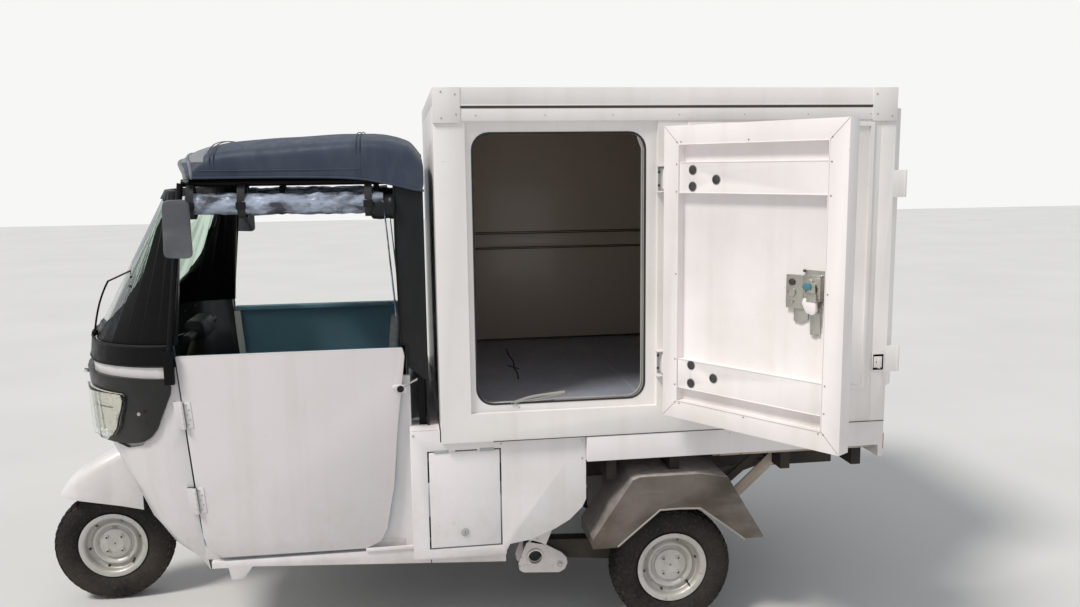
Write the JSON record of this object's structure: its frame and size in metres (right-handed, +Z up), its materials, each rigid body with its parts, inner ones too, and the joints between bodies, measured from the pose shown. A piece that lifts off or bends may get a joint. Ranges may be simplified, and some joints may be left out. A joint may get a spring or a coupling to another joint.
{
  "type": "three-wheeled cargo auto rickshaw with insulated box body",
  "caption": "Small three-wheeled cargo vehicle with an open-sided canopied cab, handlebar steering and an insulated box body with a side door and two rear doors.",
  "frame": {"origin": "on the floor under the front wheel's axle, in the vehicle's centre plane", "axes": "+Z up, +Y towards the rear of the vehicle, +X towards its left side"},
  "size_m": [2.0999, 3.422, 2.082],
  "materials": {
    "body_white": "white enamel, a little dusty",
    "box_white": "white glass-fibre skin",
    "chassis_black": "black enamel with rust",
    "frame_pale": "pale grey enamel",
    "black_plastic": "moulded black plastic",
    "screen_black": "black satin enamel",
    "clear_lens": "clear moulded lens",
    "screen_glass": "greenish laminated glass",
    "canopy_cloth": "dark blue-grey coated cloth",
    "curtain_cloth": "clear plastic side curtain, rolled",
    "seat_cover": "black coated seat cover",
    "rim_silver": "silver enamel",
    "tyre_rubber": "black tread rubber, dusty",
    "bright_steel": "zinc-plated steel",
    "engine_metal": "cast metal",
    "lamp_red": "red lamp lens",
    "mirror_black": "black mirror housing",
    "door_inner": "pale door skin in a metal edge frame",
    "aluminium_trim": "pale aluminium section"
  },
  "bodies": {
    "root": {"cab_cowl": "body_white", "lamp_surround": "black_plastic", "headlamps": "clear_lens", "windscreen_frame": "screen_black", "windscreen_glass": "screen_glass", "cab_floor": "body_white", "rear_bulkhead": "body_white", "cab_roof_frame": "screen_black", "canopy": "canopy_cloth", "cab_back": "canopy_cloth", "curtain_rolls": "curtain_cloth", "seat_cushion": "seat_cover", "seat_back": "seat_cover", "seat_base": "body_white", "dashboard": "black_plastic", "side_panel_left": "body_white", "side_panel_right": "body_white", "chassis_rails": "chassis_black", "cross_members": "chassis_black", "deck_beams": "chassis_black", "deck_skirt": "body_white", "engine_block": "engine_metal", "trailing_arms": "chassis_black", "drive_shafts": "chassis_black", "rear_springs": "chassis_black", "pivot_brackets": "frame_pale", "rear_fenders": "black_plastic", "box_floor": "aluminium_trim", "box_front_wall": "box_white", "box_left_wall": "box_white", "box_right_wall": "box_white", "box_roof": "box_white", "box_rear_frame": "aluminium_trim", "side_door_hinges": "bright_steel", "mirrors": "mirror_black", "tail_lamps": "lamp_red"},
    "steering": {"steering_column": "chassis_black", "handlebar": "black_plastic", "front_mudguard": "body_white"},
    "front_wheel": {"front_rim": "rim_silver", "front_tyre": "tyre_rubber"},
    "rear_left_wheel": {"rear_left_rim": "rim_silver", "rear_left_tyre": "tyre_rubber"},
    "rear_right_wheel": {"rear_right_rim": "rim_silver", "rear_right_tyre": "tyre_rubber"},
    "left_cab_door": {"cab_door_left": "body_white"},
    "right_cab_door": {"cab_door_right": "body_white"},
    "box_side_door": {"side_door": "door_inner", "side_door_latch": "bright_steel"},
    "left_rear_door": {"rear_door_left": "box_white"},
    "right_rear_door": {"rear_door_right": "box_white"},
    "left_hatch": {"hatch_left": "body_white"},
    "right_hatch": {"hatch_right": "body_white"}
  },
  "joints": [
    {"name": "steering_turn", "type": "hinge", "parent": "root", "child": "steering", "pos_m": [0, -0.05, 0], "axis": [0, 0.3649, 0.9311], "range_deg": [-35, 35]},
    {"name": "front_wheel_spin", "type": "hinge", "parent": "steering", "child": "front_wheel", "pos_m": [0, 0, 0.24], "axis": [1, 0, 0], "continuous": true},
    {"name": "rear_left_wheel_spin", "type": "hinge", "parent": "root", "child": "rear_left_wheel", "pos_m": [0.62, 2.26, 0.24], "axis": [1, 0, 0], "continuous": true},
    {"name": "rear_right_wheel_spin", "type": "hinge", "parent": "root", "child": "rear_right_wheel", "pos_m": [-0.62, 2.26, 0.24], "axis": [1, 0, 0], "continuous": true},
    {"name": "left_cab_door_swing", "type": "hinge", "parent": "root", "child": "left_cab_door", "pos_m": [0.6413, 0.494, 0.476], "axis": [0, -0.0826, 0.9966], "range_deg": [-70, 0]},
    {"name": "right_cab_door_swing", "type": "hinge", "parent": "root", "child": "right_cab_door", "pos_m": [-0.6413, 0.494, 0.476], "axis": [0, -0.0826, 0.9966], "range_deg": [0, 70]},
    {"name": "side_door_swing", "type": "hinge", "parent": "root", "child": "box_side_door", "pos_m": [0.7535, 2.199, 1.4], "axis": [0, 0, 1], "range_deg": [-124.5, 45]},
    {"name": "left_rear_door_swing", "type": "hinge", "parent": "root", "child": "left_rear_door", "pos_m": [0.7173, 3.142, 1.4], "axis": [0, 0, 1], "range_deg": [-180, 0]},
    {"name": "right_rear_door_swing", "type": "hinge", "parent": "root", "child": "right_rear_door", "pos_m": [-0.7173, 3.142, 1.4], "axis": [0, 0, 1], "range_deg": [0, 180]},
    {"name": "left_hatch_lift", "type": "hinge", "parent": "root", "child": "left_hatch", "pos_m": [0.697, 1.45, 0.771], "axis": [0, 1, 0], "range_deg": [-85, 0]},
    {"name": "right_hatch_lift", "type": "hinge", "parent": "root", "child": "right_hatch", "pos_m": [-0.697, 1.45, 0.771], "axis": [0, 1, 0], "range_deg": [0, 85]}
  ]
}
